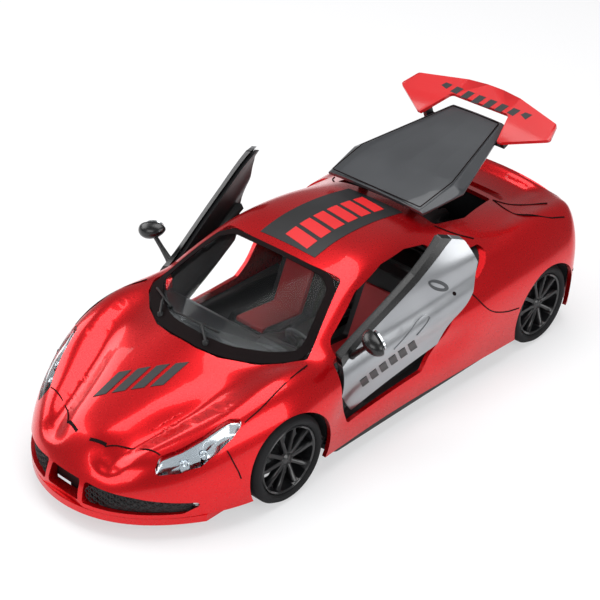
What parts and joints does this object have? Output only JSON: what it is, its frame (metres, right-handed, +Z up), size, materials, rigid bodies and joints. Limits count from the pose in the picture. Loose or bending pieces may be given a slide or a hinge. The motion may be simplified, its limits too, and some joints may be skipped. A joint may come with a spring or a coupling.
{
  "type": "diecast collector car",
  "caption": "Diecast model of a mid-engined sports coupe with swing-up doors, an engine lid that carries its wing, and rolling wheels.",
  "frame": {"origin": "middle of the car's length on the ground it stands on", "axes": "+X to the nose, +Y to the car's left, +Z up"},
  "size_m": [0.1854, 0.0942, 0.066],
  "materials": {
    "candy_red_paint": "gloss candy paint over zinc casting",
    "red_plastic": "gloss painted plastic",
    "satin_silver_paint": "satin silver paint over zinc casting",
    "satin_grey_paint": "satin dark grey paint over zinc casting",
    "clear_plastic": "clear polystyrene",
    "clear_red_plastic": "clear red plastic",
    "chrome_plating": "vacuum plated plastic",
    "steel": "bright zinc plated",
    "grey_plastic": "satin grey plastic",
    "tyre_rubber": "matt rubber",
    "black_wheel_paint": "satin black plastic",
    "red_seat_plastic": "matt red plastic",
    "black_plastic": "satin black plastic"
  },
  "bodies": {
    "body": {"arch_liners": "black_plastic", "axle_carrier_front": "black_plastic", "axle_carrier_rear": "black_plastic", "body_shell": "candy_red_paint", "brakes_front": "grey_plastic", "brakes_rear": "grey_plastic", "centre_console": "black_plastic", "chassis_screws": "steel", "cowl": "black_plastic", "dashboard": "black_plastic", "door_hinge_pins": "steel", "engine": "black_plastic", "engine_tray": "black_plastic", "floor_pan": "black_plastic", "front_grille": "black_plastic", "front_lip": "candy_red_paint", "headlamp_bowl_left": "chrome_plating", "headlamp_bowl_right": "chrome_plating", "headlamp_lens_left": "clear_plastic", "headlamp_lens_right": "clear_plastic", "headlamp_projectors": "chrome_plating", "interior_tub": "black_plastic", "lid_hinge_pins": "steel", "rear_diffuser": "black_plastic", "rear_panel": "black_plastic", "seat_left": "black_plastic", "seat_pad_left": "red_seat_plastic", "seat_pad_right": "red_seat_plastic", "seat_right": "black_plastic", "side_intakes": "black_plastic", "steering_wheel": "black_plastic", "tail_lamps": "clear_red_plastic", "tail_pipes": "chrome_plating", "windscreen": "clear_plastic", "wipers": "black_plastic"},
    "left_door": {"door_inner_left": "black_plastic", "door_skin_left": "satin_silver_paint", "door_trim_left": "black_plastic", "mirror_glass_left": "chrome_plating", "mirror_housing_left": "black_plastic"},
    "right_door": {"door_inner_right": "black_plastic", "door_skin_right": "satin_silver_paint", "door_trim_right": "black_plastic", "mirror_glass_right": "chrome_plating", "mirror_housing_right": "black_plastic"},
    "engine_lid": {"lid_panel": "satin_grey_paint", "lid_frame": "black_plastic", "wing": "red_plastic", "wing_bracket": "black_plastic"},
    "front_wheels": {"axle_front": "steel", "tyre_front_left": "tyre_rubber", "tyre_front_right": "tyre_rubber", "rim_front_left": "black_wheel_paint", "rim_front_right": "black_wheel_paint"},
    "rear_wheels": {"axle_rear": "steel", "tyre_rear_left": "tyre_rubber", "tyre_rear_right": "tyre_rubber", "rim_rear_left": "black_wheel_paint", "rim_rear_right": "black_wheel_paint"}
  },
  "joints": [
    {"name": "left_door_hinge", "type": "hinge", "parent": "body", "child": "left_door", "pos_m": [0.0249, 0.0332, 0.0293], "axis": [-0.5035, 0.7745, -0.383], "range_deg": [-23.3, 0]},
    {"name": "right_door_hinge", "type": "hinge", "parent": "body", "child": "right_door", "pos_m": [0.0249, -0.0332, 0.0293], "axis": [0.5035, 0.7745, 0.383], "range_deg": [-23.3, 0]},
    {"name": "engine_lid_hinge", "type": "hinge", "parent": "body", "child": "engine_lid", "pos_m": [-0.024, 0, 0.0456], "axis": [0, 1, 0], "range_deg": [-21, 0]},
    {"name": "front_axle_spin", "type": "hinge", "parent": "body", "child": "front_wheels", "pos_m": [0.04545, 0, 0.013], "axis": [0, 1, 0], "continuous": true},
    {"name": "rear_axle_spin", "type": "hinge", "parent": "body", "child": "rear_wheels", "pos_m": [-0.06495, 0, 0.013], "axis": [0, 1, 0], "continuous": true}
  ]
}
